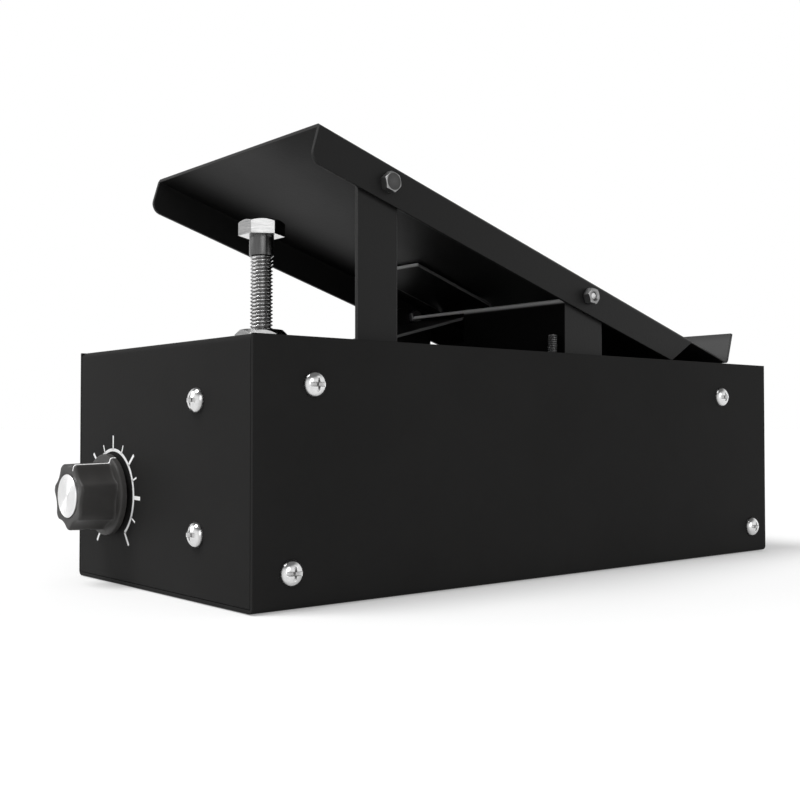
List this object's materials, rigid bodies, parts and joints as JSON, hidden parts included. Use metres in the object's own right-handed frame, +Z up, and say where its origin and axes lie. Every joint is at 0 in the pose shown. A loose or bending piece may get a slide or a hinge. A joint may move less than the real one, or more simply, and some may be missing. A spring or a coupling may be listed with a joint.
{
  "type": "foot switch",
  "caption": "Floor-standing metal foot pedal: a box with an inclined tray on a rear pivot, a push leg, a stop bolt and a dial on the toe face.",
  "frame": {"origin": "centre of the box's underside, on the floor", "axes": "+Z up; -Y towards the toe end with the dial; +Y towards the heel; +X the side of the push leg"},
  "size_m": [0.1202, 0.2931, 0.1463],
  "materials": {
    "painted_sheet": "matt black powder coat",
    "painted_bracket": "satin black powder coat",
    "zinc": "bright zinc plate",
    "dark_nut": "zinc plate, satin",
    "spring_steel": "blackened spring steel",
    "plain_steel": "satin",
    "black_plastic": "satin moulded",
    "knob_plastic": "satin moulded",
    "cap_metal": "turned",
    "switch_plastic": "matt",
    "phenolic": "matt",
    "brass": "satin",
    "seal_rubber": "matt"
  },
  "bodies": {
    "housing": {"base_shell": "painted_sheet", "top_cover": "painted_sheet", "side_screws": "zinc", "front_screws": "zinc", "terminal_strip": "phenolic", "rear_bracket": "painted_bracket", "bracket_screws": "zinc", "return_spring": "spring_steel", "spring_screws": "zinc", "lid_nuts": "zinc", "rest_stop_screw": "zinc", "stop_nut": "dark_nut", "stop_weld_nut": "plain_steel", "rear_pivot_bolts": "zinc", "rear_pivot_nuts": "zinc", "mechanism_bracket": "plain_steel", "floor_studs": "zinc", "floor_nuts": "zinc", "lever_pivot_bolt": "zinc", "lever_spacer": "plain_steel", "lever_pivot_nut": "zinc", "pedal_potentiometer": "plain_steel", "pedal_potentiometer_nut": "zinc", "microswitch": "switch_plastic", "microswitch_screws": "zinc", "dial_potentiometer": "plain_steel", "dial_potentiometer_nut": "zinc", "gland_body": "black_plastic", "gland_cap": "black_plastic", "gland_seal": "seal_rubber", "gland_lock_nut": "black_plastic"},
    "tray": {"pedal_tray": "painted_sheet", "front_pivot_bolt": "zinc", "front_pivot_nut": "zinc"},
    "leg": {"push_leg": "painted_bracket"},
    "lever": {"sector_lever": "plain_steel", "link_pin": "plain_steel", "link_clip": "spring_steel"},
    "pot_rotor": {"pinion": "brass", "pedal_potentiometer_shaft": "plain_steel"},
    "leaf": {"switch_leaf": "plain_steel"},
    "plunger": {"switch_plunger": "switch_plastic"},
    "stop": {"stop_bolt": "zinc"},
    "dial": {"knob": "knob_plastic", "knob_cap": "cap_metal", "knob_set_screw": "plain_steel", "dial_shaft": "plain_steel"}
  },
  "joints": [
    {"name": "tray_press", "type": "hinge", "parent": "housing", "child": "tray", "pos_m": [0, 0.02117, 0.10244], "axis": [1, 0, 0], "range_deg": [0, 7.3], "stiffness_Nm_per_rad": 10, "springref_deg": -5.73, "deforming": ["return_spring"]},
    {"name": "leg_swing", "type": "hinge", "parent": "tray", "child": "leg", "pos_m": [0, -0.07646, 0.13162], "axis": [1, 0, 0], "range_deg": [-7.3, 0]},
    {"name": "lever_turn", "type": "hinge", "parent": "housing", "child": "lever", "pos_m": [0, 0.02117, 0.04006], "axis": [1, 0, 0], "range_deg": [0, 7.3]},
    {"name": "pot_turn", "type": "hinge", "parent": "housing", "child": "pot_rotor", "pos_m": [0, 0.06716, 0.02632], "axis": [1, 0, 0], "range_deg": [-51.1, 0]},
    {"name": "leaf_swing", "type": "hinge", "parent": "housing", "child": "leaf", "pos_m": [0, 0.00957, 0.03606], "axis": [1, 0, 0], "range_deg": [0, 11.39]},
    {"name": "plunger_slide", "type": "slide", "parent": "housing", "child": "plunger", "axis": [0, 0, -1], "range_m": [0, 0.0009084]},
    {"name": "stop_adjust", "type": "slide", "parent": "housing", "child": "stop", "axis": [0, 0, 1], "range_m": [-0.015, 0]},
    {"name": "dial_turn", "type": "hinge", "parent": "housing", "child": "dial", "pos_m": [-0.0308, -0.13125, 0.0302], "axis": [0, 1, 0], "range_deg": [-159, 111]}
  ],
  "couplings": [
    {"joint": "leg_swing", "follows": "tray_press", "ratio": -1},
    {"joint": "lever_turn", "follows": "tray_press", "ratio": 1},
    {"joint": "pot_turn", "follows": "tray_press", "ratio": -7},
    {"joint": "leaf_swing", "follows": "tray_press", "ratio": 1.56},
    {"joint": "plunger_slide", "follows": "tray_press", "m_per_rad": 0.00713}
  ]
}
